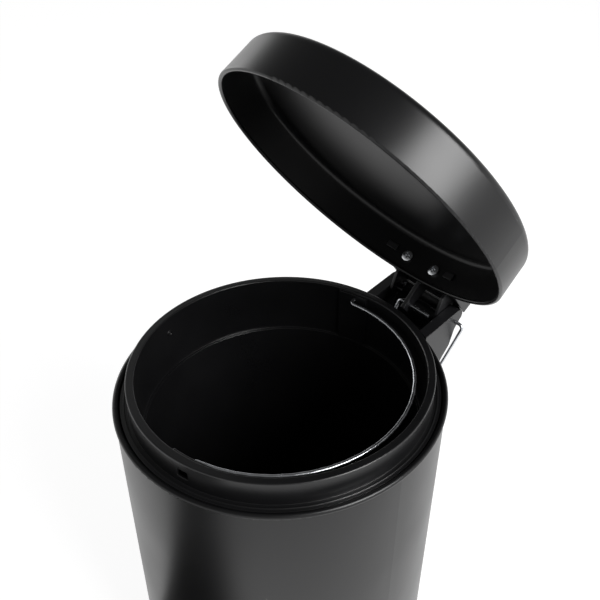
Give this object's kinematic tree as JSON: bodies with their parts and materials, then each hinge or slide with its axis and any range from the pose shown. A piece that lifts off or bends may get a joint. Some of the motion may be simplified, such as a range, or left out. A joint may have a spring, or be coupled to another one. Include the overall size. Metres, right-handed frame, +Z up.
{
  "type": "pedal trash can",
  "caption": "Round pedal bin in black steel, its lid held open by the pressed pedal, with a lift-out black bucket that has a wire handle.",
  "frame": {"origin": "on the floor, at the axis of the round body", "axes": "+Z up along the body's axis, -Y towards the pedal, +Y towards the hinge, +X to the right of someone facing the bin from the pedal's side; the lid is open as with the pedal pressed"},
  "size_m": [0.2074, 0.2863, 0.4553],
  "materials": {
    "painted_steel_body": "satin black powder coat",
    "painted_steel_lid": "satin black powder coat",
    "base_plastic": "moulded, fine texture",
    "foot_rubber": "matt",
    "hinge_plastic": "moulded, fine texture",
    "pedal_plastic": "moulded, ribbed",
    "bucket_plastic": "moulded, satin gloss",
    "zinc_screws": "zinc plated",
    "steel_pins": "zinc plated",
    "zinc_wire": "drawn wire, zinc plated",
    "zinc_strip": "pressed strip, zinc plated"
  },
  "bodies": {
    "can": {"body_shell": "painted_steel_body", "base": "base_plastic", "foot_ring": "foot_rubber", "stop_pad": "foot_rubber", "hinge_housing": "hinge_plastic", "housing_screws": "zinc_screws", "hinge_pins": "steel_pins"},
    "lid": {"lid_shell": "painted_steel_lid", "lid_bracket": "hinge_plastic", "lid_screws": "zinc_screws"},
    "rod": {"lift_rod": "zinc_wire", "rod_clip": "steel_pins"},
    "pedal": {"pedal_lever": "zinc_strip", "pedal_pad": "pedal_plastic", "pedal_pin": "steel_pins", "pedal_pin_clips": "steel_pins"},
    "bucket": {"bucket": "bucket_plastic"},
    "bail": {"bail_handle": "zinc_wire"},
    "carry": {"carry_handle": "zinc_wire"}
  },
  "joints": [
    {"name": "lid_hinge", "type": "hinge", "parent": "can", "child": "lid", "pos_m": [0, 0.1314, 0.2508], "axis": [1, 0, 0], "range_deg": [0, 54.35]},
    {"name": "rod_hook", "type": "hinge", "parent": "lid", "child": "rod", "pos_m": [0, 0.11423, 0.25141], "axis": [1, 0, 0], "range_deg": [-57, 0]},
    {"name": "pedal_pivot", "type": "hinge", "parent": "can", "child": "pedal", "pos_m": [0, 0, 0.013], "axis": [1, 0, 0], "range_deg": [-8.8, 0]},
    {"name": "bucket_lift", "type": "slide", "parent": "can", "child": "bucket", "axis": [0, 0, 1], "range_m": [0, 0.014]},
    {"name": "bail_swing", "type": "hinge", "parent": "bucket", "child": "bail", "pos_m": [0, 0, 0.2545], "axis": [0.2924, -0.9563, 0], "range_deg": [0, 180]},
    {"name": "carry_swing", "type": "hinge", "parent": "can", "child": "carry", "pos_m": [0, 0.1292, 0.2465], "axis": [1, 0, 0], "range_deg": [0, 110]}
  ],
  "couplings": [
    {"joint": "rod_hook", "follows": "lid_hinge", "ratio": -1.0301},
    {"joint": "pedal_pivot", "follows": "lid_hinge", "ratio": -0.15879}
  ]
}
